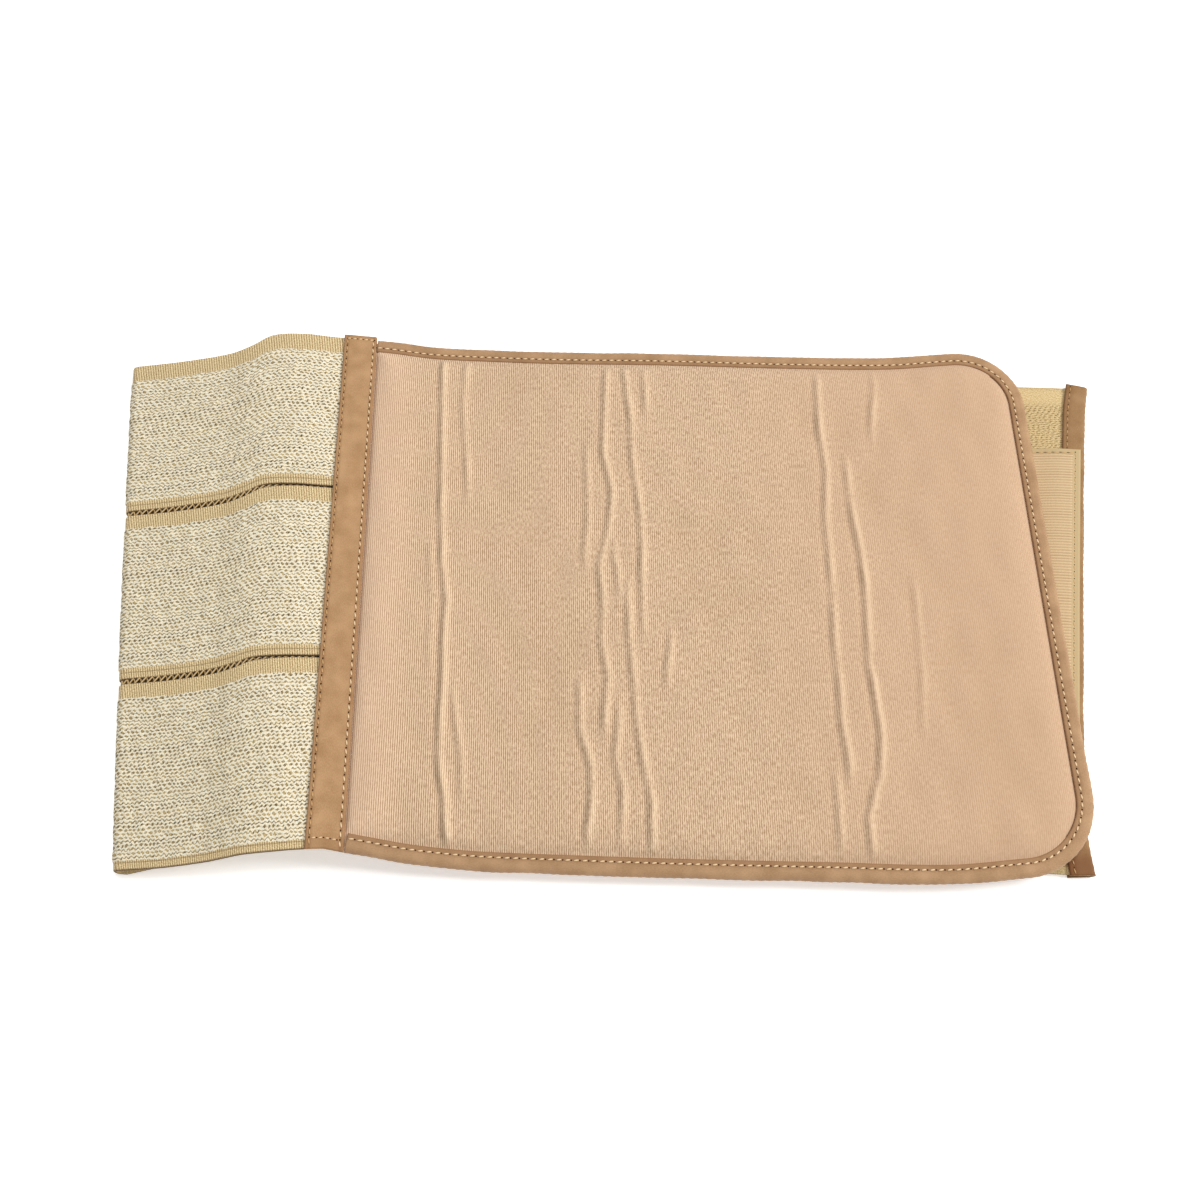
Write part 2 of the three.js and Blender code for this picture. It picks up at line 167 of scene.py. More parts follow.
def curve(table, column, at):
    """A smooth value of one column of a table, at places given in the units of its first column."""
    places, values = table[:, 0], table[:, column]
    last = len(places) - 1
    low, high = np.maximum(np.arange(last + 1) - 1, 0), np.minimum(np.arange(last + 1) + 1, last)
    rates = (values[high] - values[low]) / (places[high] - places[low])
    row = np.clip(np.searchsorted(places, at) - 1, 0, last - 1)
    span = places[row + 1] - places[row]
    t = np.clip((at - places[row]) / span, 0, 1)
    bend = t * t * (3 - 2 * t)
    tangents = rates[row] * t * (1 - t) ** 2 - rates[row + 1] * t * t * (1 - t)
    return values[row] + (values[row + 1] - values[row]) * bend + tangents * span


def mix(start, end, share):
    return start + (end - start) * share


def ease(share):
    share = np.clip(share, 0, 1)
    return share * share * (3 - 2 * share)


def hump(distance, width):
    return np.exp(-(distance / width) ** 2)


def rounded(share):
    """The rise of a quarter-round edge."""
    return np.sqrt(1 - (1 - np.clip(share, 0, 1)) ** 2)


def ripple(u, v, length, seed):
    """A smooth irregular wave between about -1 and 1, of about that wavelength."""
    draw = np.random.default_rng(seed)
    total = 0
    for _ in range(7):
        turn, phase, stretch = draw.uniform(0, 2 * math.pi), draw.uniform(0, 6.3), draw.uniform(0.7, 1.5)
        across = u * math.cos(turn) + v * math.sin(turn)
        total = total + np.sin(2 * math.pi * across / (length * stretch) + phase)
    return total / 3.5


def join_x(across):
    return STRIP_SKEW * (0.5 - across)


def fold_x(across):
    return -TOP_RUN + FOLD_SKEW * (0.5 - across) - 4 * FOLD_BOW * across * (1 - across)


def free_end_x(across):
    return FLOOR_RUN - TOP_RUN + END_SKEW * (across - 0.5 + curve(FLARE, 1, across))


def floor_height(from_end):
    return mix(REACH, BAND_THICKNESS / 2, ease((from_end - END_BINDING_WIDTH) / END_LIFT))


def fading(full, past_tape):
    return mix(np.minimum(full, PRESSED), full, ease((past_tape - CLEARANCE) / PRESSED_FADE))


def band_spot(way, band, width):
    """A point of a band's middle surface, and how far it is past the nearest tape.
    way is 0 at the free end, 1 and 2 at the ends of the fold, 3 at the strip; width is 0 to 1."""
    on_top, top, low = way > 2, np.clip(way - 2, 0, 1), np.clip(1 - way, 0, 1)
    front = PANEL_WIDTH * np.where(on_top, curve(TOP_PLAN, 1, top), curve(FLOOR_PLAN, 1, low))
    back = PANEL_WIDTH * np.where(on_top, curve(TOP_PLAN, 2, top), curve(FLOOR_PLAN, 2, low))
    gap = LACING_GAP * np.where(on_top, curve(TOP_PLAN, 4, top), 1)
    wide = (back - front - 2 * gap) / 3
    y = front + band * (wide + gap) + width * wide
    across = (y - front) / (back - front)
    turn_x, end_x = fold_x(across) + FOLD_RADIUS, free_end_x(across)
    turn = math.pi * np.clip(way - 1, 0, 1)
    top_x = mix(turn_x, join_x(across) - CLEARANCE / 2, top)
    low_x = mix(turn_x, end_x - REACH, low)
    in_turn = (way >= 1) & (way <= 2)
    x = np.where(on_top, top_x, np.where(in_turn, turn_x - FOLD_RADIUS * np.sin(turn), low_x))
    top_z = mix(FOLD_HEIGHT, JOIN_HEIGHT, curve(TOP_PLAN, 3, top))
    turn_z = BAND_THICKNESS / 2 + FOLD_RADIUS * (1 - np.cos(turn))
    z = np.where(on_top, top_z, np.where(in_turn, turn_z, floor_height(end_x - low_x)))
    past = np.where(on_top, join_x(across) - STRIP_HALF - x,
                    np.where(in_turn, 1e3, end_x - low_x - END_BINDING_WIDTH))
    return np.stack([x, y, z], 1), past


def laid_cloth(name, along, across, coarser, lay):
    """A closed slab of cloth. along and across are the stops of its upper face, and its lower face keeps
    one stop in every `coarser` across. lay turns stops and side into points, UVs and named marks."""
    columns, rows = len(along) - 1, len(across) - 1
    slab = bmesh.new()
    for level, steps in ((0.5, rows), (-0.5, rows // coarser)):
        bmesh.ops.create_grid(slab, x_segments=columns, y_segments=steps, size=0.5,
                              matrix=Matrix.Translation((0, 0, level)))
    ends = [e for e in slab.edges if all(v.co.z < 0 and abs(v.co.x) > 0.4999 for v in e.verts)]
    if coarser > 1:
        bmesh.ops.subdivide_edges(slab, edges=ends, cuts=coarser - 1)
    bmesh.ops.bridge_loops(slab, edges=[e for e in slab.edges if e.is_boundary])
    bmesh.ops.recalc_face_normals(slab, faces=slab.faces)
    for face in slab.faces:
        face.smooth = True
        face.material_index = int(all(v.co.z < 0 for v in face.verts))
    mesh = bpy.data.meshes.new(name)
    slab.to_mesh(mesh)
    slab.free()
    spots = np.empty(3 * len(mesh.vertices))
    mesh.vertices.foreach_get("co", spots)
    spots = spots.reshape(-1, 3)
    i = np.rint((spots[:, 0] + 0.5) * columns).astype(int)
    j = np.rint((spots[:, 1] + 0.5) * rows).astype(int)
    points, uv, marks = lay(np.asarray(along)[i], np.asarray(across)[j], np.sign(spots[:, 2]))
    points = points + SHIFT
    points[:, 2] = np.maximum(points[:, 2], FLOOR_GAP)
    mesh.vertices.foreach_set("co", (points * MM).ravel())
    corners = np.empty(len(mesh.loops), int)
    mesh.loops.foreach_get("vertex_index", corners)
    mesh.uv_layers.new(name="cloth_mm").data.foreach_set("uv", uv[corners].ravel())
    for mark, values in marks.items():
        attribute = mesh.attributes.new(mark, "FLOAT", "POINT")
        attribute.data.foreach_set("value", values.astype(np.float32))
    mesh.update()
    return mesh


def add_piece(name, mesh, materials, slot, *nodes):
    """Puts a finished mesh in the scene as a piece that stands for these CAD nodes."""
    for material in materials:
        mesh.materials.append(material)
    piece = bpy.data.objects.new(name, mesh)
    bpy.context.scene.collection.objects.link(piece)
    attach(piece, "root")
    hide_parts(*nodes)
    return piece


LOOP_PITCH, LOOP_ROW = 2.15, 1.6  # of the cream knit, along and across the band
LOOP_SWAY = 0.25  # of a row of loops to each side, share of the row
YARN_CORE, YARN_EDGE = 0.26, 0.45  # distance from a row's middle line, share of the row
KNIT_DEPTH = 0.3
KNIT_SKIN, KNIT_RISE, KNIT_PUCKER = 0.12, 0.1, 0.15  # over the solid: the band, its field, its waves
BAR_PITCH = 1.05  # of the bars on a selvedge
SELVEDGE_CREASE = 2.9  # from a band's front edge to the line pressed along its selvedge, drawn as a dark line of painted shade


def loop_place(u, v):
    """Where a place is in the knit: how many loops along and how many rows of loops across."""
    loops = u / LOOP_PITCH + 0.24 * ripple(u, v, 7, 4)
    return loops, (v + 0.3 * ripple(u, v, 13, 3) + 0.26 * ripple(u, v, 3.4, 8)) / LOOP_ROW


def loop_yarn(loops, rows):
    """1 on the yarn of the loops, 0 in the gaps between their rows."""
    number = np.floor(rows)
    start = np.mod(np.sin(number * 12.99) * 43.7, 1)
    off = rows - number - 0.5 - LOOP_SWAY * np.sin(2 * math.pi * (loops + start))
    return 1 - ease((np.abs(off) - YARN_CORE) / (YARN_EDGE - YARN_CORE))


def field_share(u, v, front_selvedge, back_selvedge):
    """1 on a band's knitted field, 0 on its selvedges, at v from the band's front edge."""
    v = v + 0.3 * ripple(u, v, 6, 9)
    return (ease((v - front_selvedge) / SELVEDGE_STEP)
            * ease((BAND_WIDTH - back_selvedge - v) / SELVEDGE_STEP))


way_table = np.linspace(0, 3, 1501)
middle_line = band_spot(way_table, 1, np.full(1501, 0.5))[0]
way_length = np.concatenate([[0], np.cumsum(np.linalg.norm(np.diff(middle_line, axis=0), axis=1))])
BAND_LENGTH = way_length[-1]


def lay_band(band):
    def lay(way, width, side):
        point, past = band_spot(way, band, width)
        nudge = 1e-3
        lengthwise = (band_spot(np.minimum(way + nudge, 3), band, width)[0]
                      - band_spot(np.maximum(way - nudge, 0), band, width)[0])
        widthwise = band_spot(way, band, width * 0 + 1)[0] - band_spot(way, band, width * 0)[0]
        outward = np.cross(lengthwise, widthwise)
        outward /= np.linalg.norm(outward, axis=1)[:, None]
        u, v = np.interp(way, way_table, way_length), width * BAND_WIDTH
        field = field_share(u, v, FRONT_SELVEDGES[band], BACK_SELVEDGES[band])
        full = mix(SELVEDGE_THICKNESS, BAND_THICKNESS, field)
        edge = rounded(np.minimum(v, BAND_WIDTH - v) / BAND_EDGE)
        half = fading(full, past) / 2 * mix(BAND_EDGE_SHARE, 1, edge)
        seen = np.where((way >= 1) & (side > 0), 1.0, 0.0)
        loops, rows = loop_place(u, v)
        relief = seen * (KNIT_SKIN + field * (KNIT_RISE - KNIT_DEPTH * (1 - loop_yarn(loops, rows)))
                         + KNIT_PUCKER * field * ripple(u, v, 6, 6 + band))
        point = point + outward * (side * half + relief)[:, None]
        return point, np.stack([u, v], 1), {"field": field, "loops": loops, "rows": rows}
    return lay


def loop_pattern(tree, row_share, sway, core, edge):
    """The drawn loops: yarn is 1 on their yarn and 0 in the gaps, turn is the angle along the loop and
    number the row. row_share rows of the pattern go in one row of the cream knit. They are drawn at the
    real pitch, and a noise of 1.3 mm waves makes them uneven."""
    uneven = add(tree, "TexNoise", {"Vector": add(tree, "UVMap", uv_map="cloth_mm"), "Scale": 0.8,
                                    "Detail": 1.0}, out="Color")
    uneven = add(tree, "SeparateXYZ", {0: uneven})
    loops = add(tree, "Math", {0: uneven, 1: 0.5,
                               2: add(tree, "Attribute", out="Fac", attribute_name="loops")},
                operation="MULTIPLY_ADD")
    rows = add(tree, "Math", {0: uneven.node.outputs[1], 1: 0.5,
                              2: add(tree, "Attribute", out="Fac", attribute_name="rows")},
               operation="MULTIPLY_ADD")
    rows = add(tree, "Math", {0: add(tree, "Math", {0: rows, 1: 0.25}, operation="SUBTRACT"), 1: row_share},
               operation="MULTIPLY")
    number = add(tree, "Math", {0: rows}, operation="FLOOR")
    start = add(tree, "Math", {0: add(tree, "Math", {0: number, 1: 12.99}, operation="MULTIPLY")},
                operation="SINE")
    start = add(tree, "Math", {0: add(tree, "Math", {0: start, 1: 43.7}, operation="MULTIPLY")},
                operation="FRACT")
    turn = add(tree, "Math", {0: add(tree, "Math", {0: loops, 1: start}, operation="ADD"), 1: 2 * math.pi},
               operation="MULTIPLY")
    middle = add(tree, "Math", {0: add(tree, "Math", {0: turn}, operation="SINE"), 1: sway, 2: number},
                 operation="MULTIPLY_ADD")
    off = add(tree, "Math", {0: add(tree, "Math", {0: rows, 1: middle}, operation="SUBTRACT"), 1: 0.5},
              operation="SUBTRACT")
    yarn = add(tree, "MapRange", {0: add(tree, "Math", {0: off}, operation="ABSOLUTE"), 1: core, 2: edge,
                                  3: 1.0, 4: 0.0}, interpolation_type="SMOOTHSTEP")
    return yarn, turn, number


elastic, tree = new_material("Cream knitted elastic")  # matte cotton loops with pale tops over tan gaps, and dark dots of painted shade in the holes
uv = add(tree, "UVMap", uv_map="cloth_mm")
u = add(tree, "SeparateXYZ", {0: uv})
v = u.node.outputs[1]
yarn, turn, number = loop_pattern(tree, 1.0, LOOP_SWAY, YARN_CORE, YARN_EDGE)
FIBRE = 1.9  # tufts a millimetre: real fibres are far finer and wouldn't show
fibre = add(tree, "TexNoise", {"Vector": uv, "Scale": FIBRE, "Detail": 2.0}, out="Fac")
fibre = add(tree, "MapRange", {0: fibre, 1: 0.32, 2: 0.68})
stripe = add(tree, "Math", {0: add(tree, "Math", {0: number, 1: 1.3}, operation="MULTIPLY")},
             operation="SINE")
gap = add(tree, "Math", {0: 1.0, 1: yarn}, operation="SUBTRACT")
# The gaps hold the tan yarn beneath, and dark dots of painted shade in the holes between the loops.
dot = add(tree, "MapRange", {0: add(tree, "Math", {0: turn}, operation="COSINE"), 1: 0.1, 2: 1.0})
dot = add(tree, "Math", {0: stripe, 1: 0.3, 2: dot}, operation="MULTIPLY_ADD")
dot = add(tree, "Math", {0: dot, 1: gap}, operation="MULTIPLY", use_clamp=True)
loop = add(tree, "Mix", {0: fibre, 6: linear("#F8E4B9"), 7: linear("#FFFEF0")}, out=2, data_type="RGBA")
under = add(tree, "Mix", {0: dot, 6: linear("#C2AA7A"), 7: linear("#3B2B10")}, out=2, data_type="RGBA")
loop = add(tree, "Mix", {0: gap, 6: loop, 7: under}, out=2, data_type="RGBA")
slant = add(tree, "Math", {0: v, 1: 0.12, 2: u}, operation="MULTIPLY_ADD")
bars = add(tree, "Math", {0: add(tree, "Math", {0: slant, 1: 2 * math.pi / BAR_PITCH},
                                 operation="MULTIPLY")}, operation="COSINE")
bars = add(tree, "Math", {0: bars, 1: 0.55, 2: fibre}, operation="MULTIPLY_ADD")
bars = add(tree, "MapRange", {0: bars, 1: -0.35, 2: 1.25})
edge = add(tree, "Mix", {0: bars, 6: linear("#9C743A"), 7: linear("#FFEABA")}, out=2, data_type="RGBA")
# Painted shade: a dark line along the selvedge's pressed line, and a dark rim along each long edge of a band,
# where it rolls under and borders the lacing slits.
crease_shade = add(tree, "Math", {0: add(tree, "Math", {0: v, 1: SELVEDGE_CREASE}, operation="SUBTRACT")},
             operation="ABSOLUTE")
crease_shade = add(tree, "MapRange", {0: crease_shade, 1: 0.12, 2: 0.4, 3: 0.45, 4: 0.0})
from_rim = add(tree, "Math", {0: v, 1: add(tree, "Math", {0: BAND_WIDTH, 1: v}, operation="SUBTRACT")},
               operation="MINIMUM")
rim = add(tree, "MapRange", {0: from_rim, 1: 0.1, 2: 0.6, 3: 0.9, 4: 0.0})
rim = add(tree, "Math", {0: rim, 1: crease_shade}, operation="MAXIMUM")
edge = add(tree, "Mix", {0: rim, 6: edge, 7: linear("#5F421F")}, out=2, data_type="RGBA")
field = add(tree, "Attribute", out="Fac", attribute_name="field")
ragged = add(tree, "Math", {0: yarn, 1: 0.35, 2: field}, operation="MULTIPLY_ADD")
ragged = add(tree, "MapRange", {0: ragged, 1: 0.45, 2: 0.75})
cloth = add(tree, "Mix", {0: ragged, 6: edge, 7: loop}, out=2, data_type="RGBA")
patch = add(tree, "TexNoise", {"Vector": uv, "Scale": 0.09, "Detail": 2.0}, out="Fac")  # of 11 mm
shade = add(tree, "MapRange", {0: patch, 1: 0.3, 2: 0.7, 3: 0.96, 4: 1.04})
cloth = add(tree, "Mix", {0: 1.0, 6: cloth, 7: shade}, out=2, data_type="RGBA", blend_type="MULTIPLY")
height = add(tree, "Math", {0: gap, 1: -1.0, 2: fibre}, operation="MULTIPLY_ADD")
bump = add(tree, "Bump", {"Strength": 0.7, "Distance": 0.0002, "Height": height})
shader = add(tree, "BsdfPrincipled", {"Base Color": cloth, "Roughness": 0.95, "Normal": bump,
                                      "Specular IOR Level": 0.2, "Sheen Weight": 0.15})
add(tree, "OutputMaterial", {"Surface": shader})

reverse, tree = new_material("Cream knitted elastic, reverse")  # closer, flatter loops, with dark dots of painted shade in the holes between them
uv = add(tree, "UVMap", uv_map="cloth_mm")
yarn, turn, number = loop_pattern(tree, 1.5, 0.12, 0.1, 0.5)
fibre = add(tree, "TexNoise", {"Vector": uv, "Scale": 1.6, "Detail": 2.0}, out="Fac")
fibre = add(tree, "MapRange", {0: fibre, 1: 0.3, 2: 0.7})
# Dark dots of painted shade in the holes between the loops.
dot = add(tree, "MapRange", {0: add(tree, "Math", {0: turn}, operation="COSINE"), 1: -0.3, 2: 0.9,
                             3: 0.25, 4: 1.0})
gap = add(tree, "Math", {0: add(tree, "Math", {0: 1.0, 1: yarn}, operation="SUBTRACT"), 1: dot},
          operation="MULTIPLY")
field = add(tree, "Attribute", out="Fac", attribute_name="field")
gap = add(tree, "Math", {0: gap, 1: field}, operation="MULTIPLY")
loop = add(tree, "Mix", {0: fibre, 6: linear("#BD9E68"), 7: linear("#E6D0A2")}, out=2, data_type="RGBA")
cloth = add(tree, "Mix", {0: gap, 6: loop, 7: linear("#6E5430")}, out=2, data_type="RGBA")
bump = add(tree, "Bump", {"Strength": 0.5, "Distance": 0.0002, "Height": gap}, invert=True)
shader = add(tree, "BsdfPrincipled", {"Base Color": cloth, "Roughness": 0.95, "Normal": bump,
                                      "Specular IOR Level": 0.2})
add(tree, "OutputMaterial", {"Surface": shader})

floor_ways = np.concatenate([np.linspace(0, 0.12, 14), np.linspace(0.12, 0.97, 66)[1:],
                             np.linspace(0.97, 1, 8)[1:]])
turn_ways = 1 + np.linspace(0, 1, 28)[1:]
top_ways = 2 + np.linspace(0, 1, 236)[1:]
band_ways = np.concatenate([floor_ways, turn_ways, top_ways])
band_widths = np.linspace(0, 1, 191)
for band, name in enumerate(("elastic_band_front", "elastic_band_middle", "elastic_band_back")):
    mesh = laid_cloth(name + "_knit", band_ways, band_widths, 10, lay_band(band))
    piece = add_piece(name + "_knit", mesh, [elastic, reverse], "knitted_elastic", name)

# ----------------------------------------
# Lacing: a tan cotton thread in the slit between two bands, from the free end to the strip. It crosses
# slanted from selvedge to selvedge and goes back beneath, and sinks in the slit where that narrows.
# ----------------------------------------
LACING_RADIUS = 0.36
LACING_STEP = 2.9
LACING_CROSSES = 0.8  # share of a step in which the thread crosses on top, before it goes back beneath
LACING_TOP, LACING_SUNK, LACING_DIP = 0.75, -0.5, 1.3  # over the middle of the cloth; its dip going back
LACING_BITE = 0.003  # how far it reaches into a selvedge, share of the band's width
LACING_ENDS = (12, 8.4)  # bare stretch at the free end and at the strip

lacing_thread, tree = new_material("Tan cotton lacing thread")  # dull cotton, with twists of 0.4 mm
twist = add(tree, "TexNoise", {"Vector": add(tree, "TexCoord", out="Object"), "Scale": 2500.0}, out="Fac")
cotton = add(tree, "Mix", {0: twist, 6: linear("#B8935C"), 7: linear("#E6CB98")}, out=2, data_type="RGBA")
shader = add(tree, "BsdfPrincipled", {"Base Color": cotton, "Roughness": 0.85})
add(tree, "OutputMaterial", {"Surface": shader})


def thread_tube(name, points, radius):
    """A round thread through points, as a mesh."""
    drawn = bpy.data.curves.new(name, "CURVE")
    drawn.dimensions = "3D"
    drawn.bevel_depth = radius * MM
    drawn.bevel_resolution = 0
    drawn.use_fill_caps = True
    spline = drawn.splines.new("POLY")
    spline.points.add(len(points) - 1)
    placed = np.concatenate([(points + SHIFT) * MM, np.ones((len(points), 1))], 1)
    spline.points.foreach_set("co", placed.ravel())
    holder = bpy.data.objects.new(name, drawn)
    bpy.context.scene.collection.objects.link(holder)
    made = bpy.data.meshes.new_from_object(holder.evaluated_get(bpy.context.evaluated_depsgraph_get()))
    bpy.data.objects.remove(holder)
    made.name = name
    return made


for gap, name in enumerate(("lacing_front", "lacing_back")):
    run = np.arange(LACING_ENDS[0], BAND_LENGTH - LACING_ENDS[1], LACING_STEP / 16)
    ways = np.interp(run, way_length, way_table)
    open_share = np.where(ways > 2, curve(TOP_PLAN, 4, np.clip(ways - 2, 0, 1)), 1)
    step = run / LACING_STEP % 1
    over = np.minimum(step / LACING_CROSSES, 1) * (1 - ease((step - LACING_CROSSES) / (1 - LACING_CROSSES)))
    beneath = hump(step - (1 + LACING_CROSSES) / 2, 0.09)
    crossing = mix(LACING_SUNK, LACING_TOP, ease((open_share - 0.4) / 0.5))
    raised = ease((ways - 2) * 20) * (crossing - LACING_DIP * beneath)
    left = band_spot(ways, gap, np.full(len(run), 1 - LACING_BITE))[0] + raised[:, None] * (0, 0, 1)
    right = band_spot(ways, gap + 1, np.full(len(run), LACING_BITE))[0] + raised[:, None] * (0, 0, 1)
    mesh = thread_tube(name, mix(left, right, over[:, None]), LACING_RADIUS)
    add_piece(name, mesh, [lacing_thread], "knitted_elastic")

# ----------------------------------------
# Padded panel: ribbed brushed knit laminated on 7 mm foam. Its ribs run across the binder, and the
# laminate has buckled into long creases across it where the binder has been rolled up.
# ----------------------------------------
PANEL_PLAN = np.array([  # from the strip to the rounded end: along, front, back, lift
    (0, -.463, .513, 1), (.05, -.473, .511, .78), (.11, -.483, .509, .36), (.19, -.491, .509, .1),
    (.3, -.496, .506, 0), (.45, -.502, .504, -.04), (.65, -.508, .495, 0), (.8, -.512, .493, .01),
    (.9, -.502, .502, .05), (1, -.491, .507, 0)])
PANEL_LENGTH, PANEL_CORNER, PANEL_SKEW = 303.0, 30.0, 1.4
FOAM_THICKNESS, EDGE_ROUND = 7.0, 14.0
BINDING_WIDTH, HOOK_THICKNESS = 7.2, 1.3  # of the tape round the panel, and of the tab that it lies on
END_TOP = 2 * REACH  # of the free end's tape
REST_HEIGHT = END_TOP + 2 * CLEARANCE + HOOK_THICKNESS + REACH
FOAM_CORNER = PANEL_CORNER - REACH
FOAM_LENGTH = PANEL_LENGTH - REACH
FOAM_WIDTH = PANEL_WIDTH - 2 * REACH
RIM_GRIP = BINDING_WIDTH - REACH + CLEARANCE
RIB_PITCH = 0.86  # real, and just wide enough to show

# Creases, in the frame: depth and the points (y, x) that each passes from front to back
CREASES = [
    (1.5, [(-110.8, -65.5), (-94.9, -67.1), (-78.6, -69.9), (-61.9, -70.3), (-44.6, -70), (-26.9, -71),
           (-9.1, -70.5), (9.7, -73.1), (29.1, -74.5), (49.1, -75.5), (90.9, -77.3), (112.9, -78.2)]),
    (0.8, [(46, -64.1), (67.1, -65.9), (88.2, -68.1), (110.6, -67.5)]),
    (0.8, [(-86.4, -60.5), (-74.9, -61.6), (-62.7, -64), (-50.7, -66)]),
    (0.4, [(-34.5, -76.5), (-19.6, -76.6), (-4, -77.3), (11.6, -78.4)]),
    (1.0, [(-58.9, -4.5), (-42.9, -2.7), (-26, -5.6), (-9.1, -4.9), (8.3, -6.4), (26.6, -2.6),
           (45, -0.7), (63.9, -4.8), (83.9, -4.2), (104, -3.4)]),
    (1.0, [(-16.5, 11.7), (2.1, 11.6), (21.3, 12.1), (41, 10.7), (61.3, 8.1), (82.3, 7.8), (104, 5.3)]),
    (1.1, [(-110.8, 14), (-94.5, 14.2), (-78.2, 11.2), (-61.4, 8.7), (-43.8, 7.6), (-25.5, 6.2),
           (-7.2, 5.7)]),
    (0.7, [(90.4, 14.5), (104, 14)]),
    (0.8, [(16.4, -12.7), (31.1, -11.3), (45.5, -11.6), (60.8, -12.2)]),
    (0.8, [(-1.2, 2.1), (15, -0.3)]),
    (1.1, [(-106.1, -11), (-92.5, -9.3), (-79, -9.8), (-65.3, -14.2), (-50.7, -14.3)]),
    (1.0, [(-106.1, 2.2), (-91.3, 3.1), (-76.6, 0), (-61, 1.5)]),
    (0.7, [(-40.2, 21.3), (-27.3, 23.4)]),
    (1.0, [(-79, 92.8), (-61.4, 91.3), (-43.3, 91.5), (-25.1, 91), (-5.8, 92), (34.5, 91.9), (55.2, 93.9),
           (77, 92.2), (99.6, 93.1)]),
    (0.8, [(-107.2, 87.1), (-90.9, 87.3)]),
    (1.1, [(-115.8, 99.1), (-100.9, 98.6), (-85.2, 104.4), (-69.5, 106.7), (-53.3, 105.9),
           (-36.7, 104.4), (-19.2, 105.3), (-1.6, 106.1), (16.4, 105.4), (35.5, 103.3), (54.7, 102.9)]),
    (0.7, [(77, 115.5), (88.2, 117.2), (99.6, 119.1)]),
    (0.5, [(-59.7, 124), (-42, 125.9), (-23.3, 126.4), (-4.4, 127)]),
]
CREASE_FADE = 12.0  # stretch past its last point over which a crease dies away
CREASE_START = 5.0  # from the binding, over which the creases come up
VALLEY = (-1.2, 1.2, 0.26)  # of a crease: its middle from the drawn line, its width and its share
RIDGE = (1.8, 1.75, 1.2)  # of the cloth that puffs up on its right
SWELL = (3, 7, 0.25)  # of the foam behind the ridge


def panel_height(from_join):
    return mix(REST_HEIGHT, JOIN_HEIGHT, curve(PANEL_PLAN, 3, from_join / PANEL_LENGTH))


def panel_spot(along, t):
    """A point of the panel's middle surface, how far it is in from the nearest tape and from the strip.
    along is from the strip and t from the foam's front edge, bent round the two rounded corners."""
    end, front_side = FOAM_LENGTH - along, t < FOAM_WIDTH / 2
    edge = np.minimum(t, FOAM_WIDTH - t)
    rim = np.minimum(edge, end)
    a, b = FOAM_CORNER - end, FOAM_CORNER - edge
    bent = (a > 0) & (b > 0)
    radius = np.maximum(np.maximum(a, b), 1e-9)
    turn = math.pi / 4 * np.where(a > b, b / radius, 2 - a / radius)
    end = np.where(bent, FOAM_CORNER - radius * np.cos(turn), end)
    bent_edge = np.where(bent, FOAM_CORNER - radius * np.sin(turn), edge)
    from_join = FOAM_LENGTH - end
    front = PANEL_WIDTH * curve(PANEL_PLAN, 1, from_join / PANEL_LENGTH)
    back = PANEL_WIDTH * curve(PANEL_PLAN, 2, from_join / PANEL_LENGTH)
    inset = REACH + np.minimum(bent_edge, FOAM_CORNER)
    share = np.clip((t - FOAM_CORNER) / (FOAM_WIDTH - 2 * FOAM_CORNER), 0, 1)
    middle = mix(front + REACH + FOAM_CORNER, back - REACH - FOAM_CORNER, share)
    y = np.where(edge > FOAM_CORNER, middle, np.where(front_side, front + inset, back - inset))
    across = (y - front) / (back - front)
    skew = mix(STRIP_SKEW, PANEL_SKEW, from_join / PANEL_LENGTH)
    x = from_join + skew * (0.5 - across) + CLEARANCE / 2
    from_tape = np.minimum(rim - RIM_GRIP, from_join - STRIP_HALF - CLEARANCE)
    return np.stack([x, y, panel_height(from_join)], 1), from_tape, from_join


def lay_panel(along, t, side):
    point, from_tape, from_join = panel_spot(along, t)
    x, y = point[:, 0] + SHIFT[0], point[:, 1] + SHIFT[1]
    puff = rounded(from_tape / EDGE_ROUND)
    free = ease(from_tape / CREASE_START)
    creased = 0.24 * ripple(x, y / 2.5, 55, 11) + 0.2 * ripple(x, y / 3, 11, 12)
    ridge_highlight = 0
    for depth, line in CREASES:
        ys, xs = np.array(line).T
        off = x - np.interp(y, ys, xs) - 0.2 * ripple(y, y, 13, int(xs[0]) + 400)
        alive = ease((y - ys[0]) / CREASE_FADE + 1) * ease((ys[-1] - y) / CREASE_FADE + 1)
        alive = alive * (0.8 + 0.3 * ripple(y, y, 30, int(xs[0]) + 800))
        creased += alive * depth * (RIDGE[2] * hump(off - RIDGE[0], RIDGE[1])
                                    + SWELL[2] * hump(off - SWELL[0], SWELL[1])
                                    - VALLEY[2] * hump(off - VALLEY[0], VALLEY[1]))
        # Painted highlight along the crest of each crease's ridge.
        ridge_highlight = ridge_highlight + alive * depth * hump(off - RIDGE[0] - 0.9, RIDGE[1] * 0.7)
    above = FOAM_THICKNESS - REACH - PRESSED / 2
    below = REACH - PRESSED / 2
    lifted = np.where(side > 0, PRESSED / 2 + puff * above + free * creased,
                      -PRESSED / 2 - puff * below)
    point[:, 2] += lifted
    return point, np.stack([from_join, y], 1), {"deep": np.clip(-creased, 0, 2) * free, "ridge_highlight": ridge_highlight * free}


